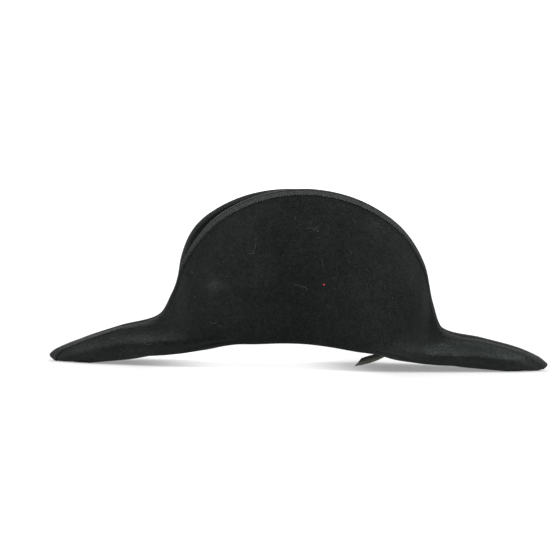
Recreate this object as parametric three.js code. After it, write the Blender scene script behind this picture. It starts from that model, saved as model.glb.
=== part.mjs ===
// A felt bicorne hat: a round crown whose wide brim is turned up in front and behind and left as two long,
// drooping wings at the sides. A grosgrain ribbon binds the brim's edge all the way round. A second ribbon
// lines the head opening, and its loose end hangs out under the brim.
//
// Millimetres, +Z up. X runs from wing tip to wing tip, the front faces -Y, and the floor that the wings
// rest on is at Z = 0, under the middle of the head opening.
import * as THREE from "three";

// Driving sizes
const HEAD_LENGTH = 202;
const HEAD_WIDTH = 163;
const CROWN_TOP = 118;
const CROWN_FULLNESS = 2.5;
const FELT_THICKNESS = 2.5;
const RIBBON_THICKNESS = 1;
const BINDING_WIDTH = 6.5;
const SEAM_GAP = 0.3;
const BREAK_RADIUS = 5;

// How far the felt bows out and down on its way from the crown into the brim, in break radii, and where
// the turn-up's curve has got to just past the fold, in radii of its roll.
const HEEL_REACH = 0.45;
const HEEL_DROP = 1.2;
const TOE_REACH = 0.75;
const TOE_RISE = 0.8;

// How the hat has settled: the flaps lean to the left as they rise, the brim has slid to the left in front
// and to the right behind, the right wing has dropped and the left one lifted, and the undersides of both
// wings have gone flat where they lie on the floor.
const FLAP_LEAN = 5;
const LEAN_START = 70;
const LEAN_RISE = 70;
const BRIM_SLIDE = 3.9;
const SLIDE_REACH = 46;
const SLIDE_FADE_START = 78;
const SLIDE_FADE = 50;
const WING_DROP = 3.8;
const DROP_GROWS_TO = 16;
const DROP_REACH = 200;
const DROP_FADE_START = 40;
const DROP_FADE = 50;
const FLOOR_FLAT = 1.4;

// One quarter of the brim, from the right wing's tip round to the middle of the front flap, as a row for
// each section. turn is the section's angle on the head oval, base the height of the crown's lower rim there
// and roll the radius of the turn-up. Each section then runs out through the fold under the brim, its
// fullest line, the waist above that and the cut edge, all as x outwards, y forwards and z up.
const BRIM_SECTIONS = [
  { turn: 0, base: 21, roll: 0.5,
    fold: [204, 0, 0.8], full: [215.5, 0, 1.2], waist: [221, 0, 3], edge: [225, 0, 6.4] },
  { turn: 8, base: 21, roll: 1,
    fold: [198, 19, 0.8], full: [209.5, 22, 4], waist: [214.5, 17, 8.6], edge: [218, 12, 12.8] },
  { turn: 17, base: 22, roll: 2,
    fold: [181, 36, 3], full: [191.5, 40.5, 10.6], waist: [194, 32, 16.4], edge: [195.5, 22, 21.8] },
  { turn: 28, base: 24, roll: 3,
    fold: [150, 48, 7.5], full: [161, 54, 16.2], waist: [164.5, 40, 24], edge: [165, 25, 30.8] },
  { turn: 41, base: 26, roll: 3,
    fold: [121, 62, 9.6], full: [130, 68, 19], waist: [128, 46, 29.5], edge: [128.5, 36, 41] },
  { turn: 53, base: 28, roll: 3,
    fold: [101, 69, 12.2], full: [108.5, 76, 20.2], waist: [113, 56, 33], edge: [115.9, 46, 65] },
  { turn: 64, base: 30, roll: 3,
    fold: [75, 81, 19], full: [81, 87.5, 24.2], waist: [98.2, 74, 55], edge: [105.9, 56, 98] },
  { turn: 75, base: 32, roll: 4,
    fold: [46, 86, 21.2], full: [51, 92.5, 34], waist: [71.8, 84, 96], edge: [82.9, 61, 130] },
  { turn: 83, base: 33, roll: 5,
    fold: [21, 86.5, 23.6], full: [26, 94.5, 52], waist: [38.5, 87, 116], edge: [45.5, 63, 152] },
  { turn: 90, base: 33, roll: 5,
    fold: [0, 86.5, 24.4], full: [0, 95.5, 64], waist: [0, 88, 120], edge: [0, 63.5, 160] },
];

// The crown's rings, as angles up its dome from the lower rim
const CROWN_ANGLES = [72, 54, 38, 24, 12, 6];

// The loose end of the head ribbon, from its seam inside the crown down to the floor, as the two edges of
// the ribbon. The last row is its slanting cut.
const TAIL_SECTIONS = [
  { low: [82.2, -33.5, 36], high: [78.7, -41.5, 40] },
  { low: [83.2, -31.5, 27], high: [82.2, -38.5, 34] },
  { low: [78.4, -26, 15.4], high: [81.9, -32.5, 22.5] },
  { low: [68.5, -18.5, 7.8], high: [71.5, -24.5, 15.2] },
  { low: [58.5, -11, 3.6], high: [59.5, -16.5, 11] },
  { low: [48.5, -6, 0.9], high: [54, -11.5, 8.6] },
];
const TAIL_THICKNESS = 1;

// Mesh fineness
const COLUMNS_PER_SECTION = 2;
const TAIL_STEPS_PER_SECTION = 3;

function smoothstep(t) {
  const c = THREE.MathUtils.clamp(t, 0, 1);
  return c * c * (3 - 2 * c);
}

// The quarter's sections carried round all four quarters, without repeating the ones on the axes.
function sectionsAllRound(quarter) {
  const place = (section, right, back) => ({ ...section, right, back });
  const forward = quarter;
  const backward = [...quarter].reverse();
  return [
    ...forward.slice(0, -1).map((s) => place(s, 1, -1)),
    ...backward.slice(0, -1).map((s) => place(s, -1, -1)),
    ...forward.slice(0, -1).map((s) => place(s, -1, 1)),
    ...backward.slice(0, -1).map((s) => place(s, 1, 1)),
  ];
}

function placed(section, [x, y, z]) {
  return new THREE.Vector3(section.right * x, section.back * y, z);
}

// The point on the head oval at a section, at the height of the crown's lower rim.
function rimPoint(section) {
  const angle = THREE.MathUtils.degToRad(section.turn);
  return placed(section, [
    (HEAD_LENGTH / 2) * Math.cos(angle),
    (HEAD_WIDTH / 2) * Math.sin(angle),
    section.base,
  ]);
}

// The outward direction, level, square to the head oval at a point on it.
function rimOutward(point) {
  return new THREE.Vector3(
    point.x / (HEAD_LENGTH / 2) ** 2,
    point.y / (HEAD_WIDTH / 2) ** 2,
    0,
  ).normalize();
}

// A point on the crown: a dome whose plan is the head oval and whose profile is a squarish ellipse.
function crownPoint(section, degrees) {
  const angle = THREE.MathUtils.degToRad(degrees);
  const power = 2 / CROWN_FULLNESS;
  const spread = Math.cos(angle) ** power;
  const rise = Math.sin(angle) ** power;
  const rim = rimPoint(section);
  return new THREE.Vector3(
    rim.x * spread,
    rim.y * spread,
    rim.z + (CROWN_TOP - rim.z) * rise,
  );
}

// The control points of one section's line from the crown down, under the break and up to the brim's edge.
function sectionLine(section, before, after) {
  const rim = rimPoint(section);
  const fold = placed(section, section.fold);
  const along = placed(after, after.fold).sub(placed(before, before.fold));
  const outward = new THREE.Vector3(along.y, -along.x, 0).normalize();
  if (outward.dot(rim) < 0) outward.negate();
  const heel = rim.clone().addScaledVector(rimOutward(rim), HEEL_REACH * BREAK_RADIUS);
  heel.z -= HEEL_DROP * BREAK_RADIUS;
  const toe = fold.clone().addScaledVector(outward, TOE_REACH * section.roll);
  toe.z += TOE_RISE * section.roll;
  return [
    ...CROWN_ANGLES.map((degrees) => crownPoint(section, degrees)),
    rim,
    heel,
    fold,
    toe,
    placed(section, section.full),
    placed(section, section.waist),
    placed(section, section.edge),
  ];
}

// Lean, slide, drop and floor flat, applied to a point of the hat as it was blocked.
function settled(point) {
  const lean = FLAP_LEAN * smoothstep((point.z - LEAN_START) / LEAN_RISE);
  const sideways = THREE.MathUtils.clamp(point.y / SLIDE_REACH, -1, 1);
  const slide =
    BRIM_SLIDE *
    (1 - smoothstep((point.z - SLIDE_FADE_START) / SLIDE_FADE)) *
    Math.sin((Math.PI / 2) * sideways);
  const drop =
    WING_DROP *
    Math.sign(point.x) *
    Math.sin(Math.PI * Math.min(Math.abs(point.x) / DROP_REACH, 1)) *
    (1 - smoothstep((point.z - DROP_FADE_START) / DROP_FADE)) *
    Math.min(point.z / DROP_GROWS_TO, 1);
  return new THREE.Vector3(
    point.x - lean + slide,
    point.y,
    Math.max(point.z - drop - FLOOR_FLAT, 0),
  );
}

// How many steps each stretch of a section's line is cut into, from the crown's top ring to the fullest
// line, and how many there are from there to the binding's hem.
const STEPS = [1, 1, 1, 1, 1, 1, 1, 2, 1, 3];
const FLAP_STEPS = 6;
const LENGTH_SAMPLES = 20;
const RIM_ROW = CROWN_ANGLES.length;

// The sheet's lower face as rows of points: row 0 is the crown's top ring, the last row is the cut edge, and
// each row holds a point for each column round the hat.
function sheetRows() {
  const sections = sectionsAllRound(BRIM_SECTIONS);
  const count = sections.length;
  const lines = sections.map((section, i) =>
    sectionLine(section, sections[(i + count - 1) % count], sections[(i + 1) % count]),
  );
  const rings = lines[0].map(
    (_, k) => new THREE.CatmullRomCurve3(lines.map((line) => line[k]), true, "centripetal"),
  );
  const columns = count * COLUMNS_PER_SECTION;
  const rows = [];
  for (let c = 0; c < columns; c++) {
    const controls = rings.map((ring) => ring.getPoint(c / columns));
    const line = new THREE.CatmullRomCurve3(controls, false, "centripetal");
    const stretch = 1 / (controls.length - 1);
    const points = STEPS.flatMap((steps, k) =>
      Array.from({ length: steps }, (_, j) => line.getPoint((k + j / steps) * stretch)),
    );
    line.arcLengthDivisions = (controls.length - 1) * LENGTH_SAMPLES;
    const length = line.getLength();
    const full = line.getLengths()[STEPS.length * LENGTH_SAMPLES];
    const hem = length - BINDING_WIDTH;
    for (let j = 0; j < FLAP_STEPS; j++)
      points.push(line.getPointAt(THREE.MathUtils.lerp(full, hem, j / FLAP_STEPS) / length));
    for (const inset of [BINDING_WIDTH, BINDING_WIDTH / 2, 0])
      points.push(line.getPointAt(1 - inset / length));
    points.forEach((point, r) => {
      rows[r] ??= [];
      rows[r].push(settled(point));
    });
  }
  return rows;
}

// Indexed triangles between rows of points that each run round in a ring. Bands from turnedFrom on take
// the other diagonal.
function ringTriangles(rowCount, columns, turnedFrom = rowCount) {
  const triangles = [];
  for (let r = 0; r < rowCount - 1; r++)
    for (let c = 0; c < columns; c++) {
      const next = (c + 1) % columns;
      const a = r * columns + c;
      const b = r * columns + next;
      const [d, e] = [a + columns, b + columns];
      if (r < turnedFrom) triangles.push(a, d, e, a, e, b);
      else triangles.push(a, d, b, b, d, e);
    }
  return triangles;
}

function geometryOf(points, triangles) {
  const geometry = new THREE.BufferGeometry().setFromPoints(points);
  geometry.setIndex(triangles);
  geometry.computeVertexNormals();
  return geometry;
}

// A sheet with thickness: its front, its back with the same points and triangles turned round, and a strip
// along each of its hems, which are the first points of the rows that end it.
function shellGeometry(front, back, triangles, columns, { firstHem, lastHem }) {
  const shift = front.length;
  const all = [...triangles];
  for (let i = 0; i < triangles.length; i += 3) {
    const [a, b, c] = triangles.slice(i, i + 3);
    all.push(shift + a, shift + c, shift + b);
  }
  for (let c = 0; c < columns; c++) {
    const next = (c + 1) % columns;
    const [a, b] = [lastHem + c, lastHem + next];
    all.push(a, shift + a, shift + b, a, shift + b, b);
    if (firstHem === undefined) continue;
    const [d, e] = [firstHem + c, firstHem + next];
    all.push(d, shift + e, shift + d, d, e, shift + e);
  }
  return geometryOf([...front, ...back], all);
}

// The felt's lower face with its normals, which point out of the felt: down inside the crown and forwards
// on the front flap.
function lowerFace() {
  const rows = sheetRows();
  const columns = rows[0].length;
  const pole = rows[0]
    .reduce((sum, point) => sum.add(point), new THREE.Vector3())
    .divideScalar(columns);
  pole.z = CROWN_TOP - FLOOR_FLAT;
  const points = [...rows.flat(), pole];
  const triangles = ringTriangles(rows.length, columns);
  for (let c = 0; c < columns; c++)
    triangles.push(points.length - 1, c, (c + 1) % columns);
  const normal = geometryOf(points, triangles).getAttribute("normal");
  const normals = points.map((_, i) => new THREE.Vector3().fromBufferAttribute(normal, i));
  // The points of one row moved off the lower face by a margin, or into and past the felt by a negative one.
  const offsetRow = (row, margin) => {
    const start = row * columns;
    return points
      .slice(start, start + columns)
      .map((point, c) => point.clone().addScaledVector(normals[start + c], margin));
  };
  return { points, normals, triangles, columns, edgeRow: rows.length - 1, offsetRow };
}

// One felt sheet, blocked in one piece: the lower face, the upper face a felt's thickness away, and the cut
// edge between them.
function feltGeometry(face) {
  const upper = face.points.map((point, i) =>
    point.clone().addScaledVector(face.normals[i], -FELT_THICKNESS),
  );
  const lastHem = face.edgeRow * face.columns;
  return shellGeometry(face.points, upper, face.triangles, face.columns, { lastHem });
}

// The edge binding, folded over the cut edge: a leaf on each face of the felt and a strip across the edge.
function bindingGeometry(face) {
  const hemToEdge = [face.edgeRow - 2, face.edgeRow - 1, face.edgeRow];
  const inner = face.offsetRow(face.edgeRow - 1, 0);
  const pastEdge = face
    .offsetRow(face.edgeRow, 0)
    .map((point, c) => point.sub(inner[c]).normalize());
  // Both faces of the felt grown outwards by a margin, from the lower leaf's hem round to the upper one's.
  const wrap = (margin) => {
    const lower = hemToEdge.map((row) => face.offsetRow(row, margin));
    const upper = hemToEdge.map((row) => face.offsetRow(row, -FELT_THICKNESS - margin)).reverse();
    [lower.at(-1), upper[0]].forEach((row) =>
      row.forEach((point, c) => point.addScaledVector(pastEdge[c], margin)),
    );
    return [...lower, ...upper];
  };
  const outside = wrap(SEAM_GAP + RIBBON_THICKNESS);
  const inside = wrap(SEAM_GAP);
  const triangles = ringTriangles(outside.length, face.columns, hemToEdge.length);
  return shellGeometry(outside.flat(), inside.flat(), triangles, face.columns, {
    firstHem: 0,
    lastHem: (outside.length - 1) * face.columns,
  });
}

// The head ribbon, which lines the lower rim of the crown.
function headRibbonGeometry(face) {
  const rows = [RIM_ROW - 2, RIM_ROW - 1, RIM_ROW];
  const leaf = (margin) => rows.flatMap((row) => face.offsetRow(row, margin));
  return shellGeometry(
    leaf(SEAM_GAP + RIBBON_THICKNESS),
    leaf(SEAM_GAP),
    ringTriangles(rows.length, face.columns),
    face.columns,
    { firstHem: 0, lastHem: (rows.length - 1) * face.columns },
  );
}

// The loose ribbon end: a strip between two edge curves, thickened across its own face.
function tailGeometry() {
  const low = new THREE.CatmullRomCurve3(TAIL_SECTIONS.map((s) => new THREE.Vector3(...s.low)));
  const high = new THREE.CatmullRomCurve3(TAIL_SECTIONS.map((s) => new THREE.Vector3(...s.high)));
  const steps = (TAIL_SECTIONS.length - 1) * TAIL_STEPS_PER_SECTION;
  const points = [];
  for (let i = 0; i <= steps; i++) {
    const a = low.getPoint(i / steps);
    const b = high.getPoint(i / steps);
    const across = b.clone().sub(a);
    const along = low.getTangent(i / steps).add(high.getTangent(i / steps));
    const half = along.cross(across).normalize().multiplyScalar(TAIL_THICKNESS / 2);
    points.push(
      a.clone().add(half),
      a.clone().sub(half),
      b.clone().sub(half),
      b.clone().add(half),
    );
  }
  const triangles = [0, 2, 1, 0, 3, 2];
  const quad = (a, b, c, d) => triangles.push(a, b, c, a, c, d);
  for (let i = 0; i < steps; i++)
    for (let s = 0; s < 4; s++) {
      const t = (s + 1) % 4;
      quad(4 * i + s, 4 * i + t, 4 * i + 4 + t, 4 * i + 4 + s);
    }
  const end = 4 * steps;
  quad(end, end + 1, end + 2, end + 3);
  return geometryOf(points, triangles);
}

function piece(name, geometry, colour, roughness) {
  const material = new THREE.MeshStandardMaterial({ color: colour, roughness, metalness: 0 });
  const mesh = new THREE.Mesh(geometry, material);
  mesh.name = name;
  return mesh;
}

const face = lowerFace();
const hat = new THREE.Group();
hat.add(
  piece("felt_body", feltGeometry(face), 0x161716, 0.95),
  piece("edge_binding", bindingGeometry(face), 0x2b2d2e, 0.6),
  piece("head_ribbon", headRibbonGeometry(face), 0x26272a, 0.65),
  piece("ribbon_tail", tailGeometry(), 0x4a4b43, 0.6),
);

export default hat;
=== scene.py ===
"""A black felt bicorne hat with a ribbed ribbon bound over its edge, lying on a pale floor.

The hat is one blocked felt sheet: a round crown whose wide brim is turned up in front and behind and drops
into a long wing at each side. Every piece is laid on that one sheet, so the ribbons follow the felt.

Metres, +Z up. X runs from wing tip to wing tip, the front faces -Y, and the floor is at Z = 0. The sizes
in the tables are millimetres.
"""

import logging
import random
from dataclasses import dataclass, field
from enum import Enum
from typing import Any, Iterable

import bmesh
import bpy
import numpy as np
from mathutils import Matrix, Vector
from mathutils.bvhtree import BVHTree


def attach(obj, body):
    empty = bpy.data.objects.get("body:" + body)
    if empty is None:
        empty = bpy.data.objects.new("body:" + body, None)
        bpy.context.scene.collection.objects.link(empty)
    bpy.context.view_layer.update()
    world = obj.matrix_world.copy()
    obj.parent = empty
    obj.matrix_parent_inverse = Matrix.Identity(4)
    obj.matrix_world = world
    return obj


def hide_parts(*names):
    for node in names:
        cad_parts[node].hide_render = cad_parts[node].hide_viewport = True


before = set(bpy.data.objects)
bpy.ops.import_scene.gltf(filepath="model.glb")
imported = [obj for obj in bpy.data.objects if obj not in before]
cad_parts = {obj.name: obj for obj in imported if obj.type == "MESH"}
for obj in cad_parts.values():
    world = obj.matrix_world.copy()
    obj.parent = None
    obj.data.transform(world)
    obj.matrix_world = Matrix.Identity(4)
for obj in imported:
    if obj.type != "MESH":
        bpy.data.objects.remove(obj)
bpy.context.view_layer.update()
BODY = "root"
MM = 0.001
WHITE = (1, 1, 1)

Array = np.ndarray
Socket = bpy.types.NodeSocket
Pair = tuple[float, float]
Triple = tuple[float, float, float]
# A value between the first two numbers is taken smoothly to the pair's range.
Ramp = tuple[float, float, Pair]

log = logging.getLogger("bicorne_hat")


class Slot(Enum):
    """The record's material slots."""

    FELT = "felt"
    BINDING = "grosgrain"
    HEAD_RIBBON = "head_ribbon"
    TAIL = "tail_ribbon"


class Held(Enum):
    """How a ribbon is held on the hat."""

    FOLDED = "folded"
    LAID = "laid"
    HUNG = "hung"


def ease(t: Array) -> Array:
    """A step from 0 to 1 with level ends."""
    c = np.clip(t, 0, 1)
    return c * c * (3 - 2 * c)


def smooth_line(knots: Array, at: Array, closed: bool) -> Array:
    """Points on centripetal Catmull-Rom curves.

    Args:
        knots: the curves' points, one curve a row, shaped (curves, points, 3).
        at: where to read each curve, from 0 to 1, shaped (curves, places).
        closed: whether each curve comes back to its first point.

    Returns:
        The points, shaped (curves, places, 3).
    """
    if closed:
        around = np.concatenate([knots[:, -1:], knots, knots[:, :2]], axis=1)
    else:
        before = 2 * knots[:, :1] - knots[:, 1:2]
        after = 2 * knots[:, -1:] - knots[:, -2:-1]
        around = np.concatenate([before, knots, after], axis=1)
    spans = around.shape[1] - 3
    place = np.clip(at, 0, 1) * spans
    left = np.minimum(np.floor(place).astype(int), spans - 1)
    t = (place - left)[..., None]
    p0, p1, p2, p3 = (np.take_along_axis(around, (left + j)[..., None], axis=1) for j in range(4))
    d0, d1, d2 = (
        np.sqrt(np.linalg.norm(b - a, axis=-1, keepdims=True)) for a, b in ((p0, p1), (p1, p2), (p2, p3))
    )
    d0, d2 = np.where(d0 < 1e-4, d1, d0), np.where(d2 < 1e-4, d1, d2)
    t1 = ((p1 - p0) / d0 - (p2 - p0) / (d0 + d1) + (p2 - p1) / d1) * d1
    t2 = ((p2 - p1) / d1 - (p3 - p1) / (d1 + d2) + (p3 - p2) / d2) * d1
    c2 = 3 * (p2 - p1) - 2 * t1 - t2
    c3 = 2 * (p1 - p2) + t1 + t2
    return p1 + t1 * t + c2 * t**2 + c3 * t**3


def unit(vectors: Array) -> Array:
    """Vectors brought to length 1."""
    return vectors / np.maximum(np.linalg.norm(vectors, axis=-1, keepdims=True), 1e-12)


def run_of(points: Array) -> Array:
    """How far along a row of points each one lies."""
    return np.concatenate([[0], np.cumsum(np.linalg.norm(np.diff(points, axis=0), axis=1))])


def ridges(columns: int) -> Array:
    """1 at each ridge and -1 at each groove of a ribbed ribbon, two columns to a rib."""
    return np.where(np.arange(columns) % 2, -1.0, 1.0)


@dataclass(frozen=True)
class BrimSection:
    """One section of the brim, as x outwards, y forwards and z up.

    turn is the section's angle on the head oval, base the height of the crown's lower rim there, and roll
    the radius of the turn-up. The section runs out through the fold under the brim, its fullest line and
    the waist above that to the cut edge.
    """

    turn: float
    base: float
    roll: float
    fold: Triple
    full: Triple
    waist: Triple
    edge: Triple


# From the right wing's tip round to the middle of the front flap.
BRIM_SECTIONS = (
    BrimSection(0, 21, 0.5, (204, 0, 0.8), (215.5, 0, 1.2), (221, 0, 3), (225, 0, 6.4)),
    BrimSection(8, 21, 1, (198, 19, 0.8), (209.5, 22, 4), (214.5, 17, 8.6), (218, 12, 12.8)),
    BrimSection(17, 22, 2, (181, 36, 3), (191.5, 40.5, 10.6), (194, 32, 16.4), (195.5, 22, 21.8)),
    BrimSection(28, 24, 3, (150, 48, 7.5), (161, 54, 16.2), (164.5, 40, 24), (165, 25, 30.8)),
    BrimSection(41, 26, 3, (121, 62, 9.6), (130, 68, 19), (128, 46, 29.5), (128.5, 36, 41)),
    BrimSection(53, 28, 3, (101, 69, 12.2), (108.5, 76, 20.2), (113, 56, 33), (115.9, 46, 65)),
    BrimSection(64, 30, 3, (75, 81, 19), (81, 87.5, 24.2), (98.2, 74, 55), (105.9, 56, 98)),
    BrimSection(75, 32, 4, (46, 86, 21.2), (51, 92.5, 34), (71.8, 84, 96), (82.9, 61, 130)),
    BrimSection(83, 33, 5, (21, 86.5, 23.6), (26, 94.5, 52), (38.5, 87, 116), (45.5, 63, 152)),
    BrimSection(90, 33, 5, (0, 86.5, 24.4), (0, 95.5, 64), (0, 88, 120), (0, 63.5, 160)),
)


@dataclass
class BlockedSheet:
    """The felt's lower face, as a surface that any piece can be laid on.

    A place on it is a turn round the hat, from 0 at the right wing's tip to 1, and a line down from the
    crown to the cut edge. The lower face is the inside of the crown and the outside of the flaps.

    The line turns outwards at a heel, just under the crown's lower rim, and turns up at a toe, just beyond
    the fold. The heel is placed by shares of the break's radius, and the toe by shares of the section's roll.
    """

    head_length: float = 202
    head_width: float = 163
    crown_top: float = 118
    crown_fullness: float = 2.5
    felt: float = 2.5
    break_radius: float = 5
    heel_out: float = 0.45
    heel_drop: float = 1.2
    toe_out: float = 0.75
    toe_rise: float = 0.8
    flap_lean: float = 5
    lean_start: float = 70
    lean_rise: float = 70
    wing_drop: float = 3.8
    drop_grows_to: float = 16
    drop_reach: float = 200
    drop_fade_start: float = 40
    drop_fade: float = 50
    floor_flat: float = 1.4
    brim_slide: float = 3.9
    slide_reach: float = 46
    slide_fade_start: float = 78
    slide_fade: float = 50
    crown_angles: tuple[float, ...] = (84, 78, 72, 64, 54, 46, 38, 31, 24, 18, 12, 6)
    unevenness: float = 0.35
    even_below: float = 12
    length_samples: int = 16

    def sections(self) -> list[tuple[BrimSection, int, int]]:
        """The quarter's sections carried round all four quarters, each with its sides of X and Y."""
        out, back = BRIM_SECTIONS[:-1], BRIM_SECTIONS[:0:-1]
        return [
            *((s, 1, -1) for s in out), *((s, -1, -1) for s in back),
            *((s, -1, 1) for s in out), *((s, 1, 1) for s in back),
        ]  # fmt: skip

    def crown_point(self, rim: Array, degrees: float) -> Array:
        """A point on the crown's dome above a point of its rim."""
        power = 2 / self.crown_fullness
        spread, rise = np.cos(np.radians(degrees)) ** power, np.sin(np.radians(degrees)) ** power
        return np.array([rim[0] * spread, rim[1] * spread, rim[2] + (self.crown_top - rim[2]) * rise])

    def section_line(self, at: int) -> Array:
        """The control points of one section's line, from the crown's top to the cut edge.

        Args:
            at: the section's place among sections().

        Returns:
            The control points in mm, shaped (points, 3).
        """
        sections = self.sections()
        section, right, back = sections[at]

        def placed(which: int, name: str) -> Array:
            """A section's point of that name, carried to its own quarter."""
            s, r, b = sections[which % len(sections)]
            return np.array(getattr(s, name), float) * (r, b, 1)

        long, wide = self.head_length / 2, self.head_width / 2
        turn = np.radians(section.turn)
        rim = np.array([right * long * np.cos(turn), back * wide * np.sin(turn), section.base])
        outward_rim = unit(np.array([rim[0] / long**2, rim[1] / wide**2, 0]))
        fold = placed(at, "fold")
        along = placed(at + 1, "fold") - placed(at - 1, "fold")
        outward = unit(np.array([along[1], -along[0], 0]))
        outward *= np.sign(outward @ rim)
        drop, rise = self.heel_drop * self.break_radius, self.toe_rise * section.roll
        heel = rim + outward_rim * self.heel_out * self.break_radius - (0, 0, drop)
        toe = fold + outward * self.toe_out * section.roll + (0, 0, rise)
        crown = [self.crown_point(rim, degrees) for degrees in self.crown_angles]
        return np.array([*crown, rim, heel, fold, toe, *(placed(at, n) for n in ("full", "waist", "edge"))])

    @property
    def rim_at(self) -> float:
        """Where the crown's lower rim is on a line, from 0 to 1."""
        return len(self.crown_angles) / self.spans

    @property
    def full_at(self) -> float:
        """Where the brim's fullest line is on a line, from 0 to 1."""
        return (self.spans - 2) / self.spans

    @property
    def spans(self) -> int:
        """The number of spans between a line's control points."""
        return len(self.crown_angles) + 6

    def controls(self, turns: Array) -> Array:
        """The control points of the line at each turn, shaped (turns, points, 3)."""
        lines = np.array([self.section_line(i) for i in range(len(self.sections()))])
        rings = lines.transpose(1, 0, 2)
        places = np.broadcast_to(turns % 1.0, (len(rings), len(turns)))
        return smooth_line(rings, places, closed=True).transpose(1, 0, 2)

    def wave(self, x: Array, z: Array) -> Array:
        """How many mm the felt waves out of true, in broad waves with finer ones over them."""
        broad = np.sin(x / 17 + 0.6 * np.sin(z / 23)) * np.sin(z / 14 + 1.3)
        fine = np.sin(x / 7.3 + z / 11 + 0.8) * np.sin(z / 9.1 - x / 31)
        return self.unevenness * (broad + 0.5 * fine)

    def settled(self, p: Array) -> Array:
        """Points as blocked, in mm, moved to where they lie once the hat has settled on the floor."""
        x, y, z = p[..., 0], p[..., 1], p[..., 2]
        near = np.minimum(np.abs(x) / self.drop_reach, 1)
        fade = 1 - ease((z - self.drop_fade_start) / self.drop_fade)
        rise = np.clip(z / self.drop_grows_to, 0, 1)
        drop = self.wing_drop * np.sign(x) * np.sin(np.pi * near) * fade * rise
        lean = self.flap_lean * ease((z - self.lean_start) / self.lean_rise)
        low = 1 - ease((z - self.slide_fade_start) / self.slide_fade)
        slide = self.brim_slide * low * np.sin(np.pi / 2 * np.clip(y / self.slide_reach, -1, 1))
        y = y + self.wave(x, z) * ease(z / self.even_below)
        return np.stack([x - lean + slide, y, np.maximum(z - drop - self.floor_flat, 0)], axis=-1)

    def at_places(self, turns: Array, places: Array) -> Array:
        """Settled points in metres at places of the line at each turn, shaped (turns, places, 3)."""
        return self.settled(smooth_line(self.controls(turns), places, closed=False)) * MM

    def places_from_edge(self, turns: Array, insets: Array) -> Array:
        """Where each line is so many mm short of the cut edge.

        Args:
            turns: the turns round the hat.
            insets: the distances from the edge in mm, shaped (turns, distances).

        Returns:
            The places on the lines, from 0 to 1, in the shape of insets.
        """
        dense = np.linspace(0, 1, self.spans * self.length_samples + 1)
        every = np.broadcast_to(dense, (len(turns), len(dense)))
        line = smooth_line(self.controls(turns), every, closed=False)
        steps = np.linalg.norm(np.diff(line, axis=1), axis=-1)
        length = np.concatenate([np.zeros((len(turns), 1)), np.cumsum(steps, axis=1)], axis=1)
        return np.stack([np.interp(l[-1] - d, l, dense) for l, d in zip(length, insets)])

    def normals(self, grid: Array) -> Array:
        """The lower face's outward directions over a closed grid of points, shaped (turns, places, 3)."""
        around = np.roll(grid, -1, axis=0) - np.roll(grid, 1, axis=0)
        down = np.gradient(grid, axis=1)
        return unit(np.cross(down, around))


@dataclass
class LaidGrid:
    """A grid of quads laid over a surface, which may close on itself either way."""

    name: str
    points: Array
    close_columns: bool = True
    close_rows: bool = False
    tones: dict[str, Array] = field(default_factory=dict)
    seam: float = 1e-7

    def build(self) -> bpy.types.Object:
        """Makes the grid, moves each of its points to its place and joins its seams.

        Returns:
            The object, at the origin, with its normals outwards and a UV map that runs from 0 to 1 along
            the columns and across the rows. Each of tones is an attribute of its points.
        """
        points = self.closed(self.points)
        columns, rows = points.shape[:2]
        bm = bmesh.new()
        bm.loops.layers.uv.new("UVMap")
        bmesh.ops.create_grid(bm, x_segments=columns - 1, y_segments=rows - 1, size=1, calc_uvs=True)
        places = points.transpose(1, 0, 2).reshape(-1, 3).tolist()
        for vert, place in zip(bm.verts, places, strict=True):
            vert.co = place
        for name, tone in self.tones.items():
            layer = bm.verts.layers.float.new(name)
            for vert, value in zip(bm.verts, self.closed(tone).T.ravel().tolist(), strict=True):
                vert[layer] = value
        bmesh.ops.remove_doubles(bm, verts=[v for v in bm.verts if v.is_boundary], dist=self.seam)
        if self.close_rows:
            bmesh.ops.recalc_face_normals(bm, faces=bm.faces)
        else:
            bmesh.ops.reverse_faces(bm, faces=bm.faces)
        return finished(self.name, bm)

    def closed(self, values: Array) -> Array:
        """A value at each point, with the first ones repeated at the end where the grid closes."""
        if self.close_columns:
            values = np.concatenate([values, values[:1]])
        if self.close_rows:
            values = np.concatenate([values, values[:, :1]], axis=1)
        return values


def linked(name: str, data: bpy.types.ID) -> bpy.types.Object:
    """A new object in the scene."""
    made = bpy.data.objects.new(name, data)
    bpy.context.scene.collection.objects.link(made)
    return made


def meshed(name: str, bm: bmesh.types.BMesh) -> bpy.types.Object:
    """Turns a bmesh into an object at the origin."""
    mesh = bpy.data.meshes.new(name)
    bm.to_mesh(mesh)
    bm.free()
    return linked(name, mesh)


def finished(name: str, bm: bmesh.types.BMesh) -> bpy.types.Object:
    """Turns a bmesh into a smooth-shaded object at the origin that rides on the hat."""
    for face in bm.faces:
        face.smooth = True
    made = meshed(name, bm)
    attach(made, BODY)
    return made


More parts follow.
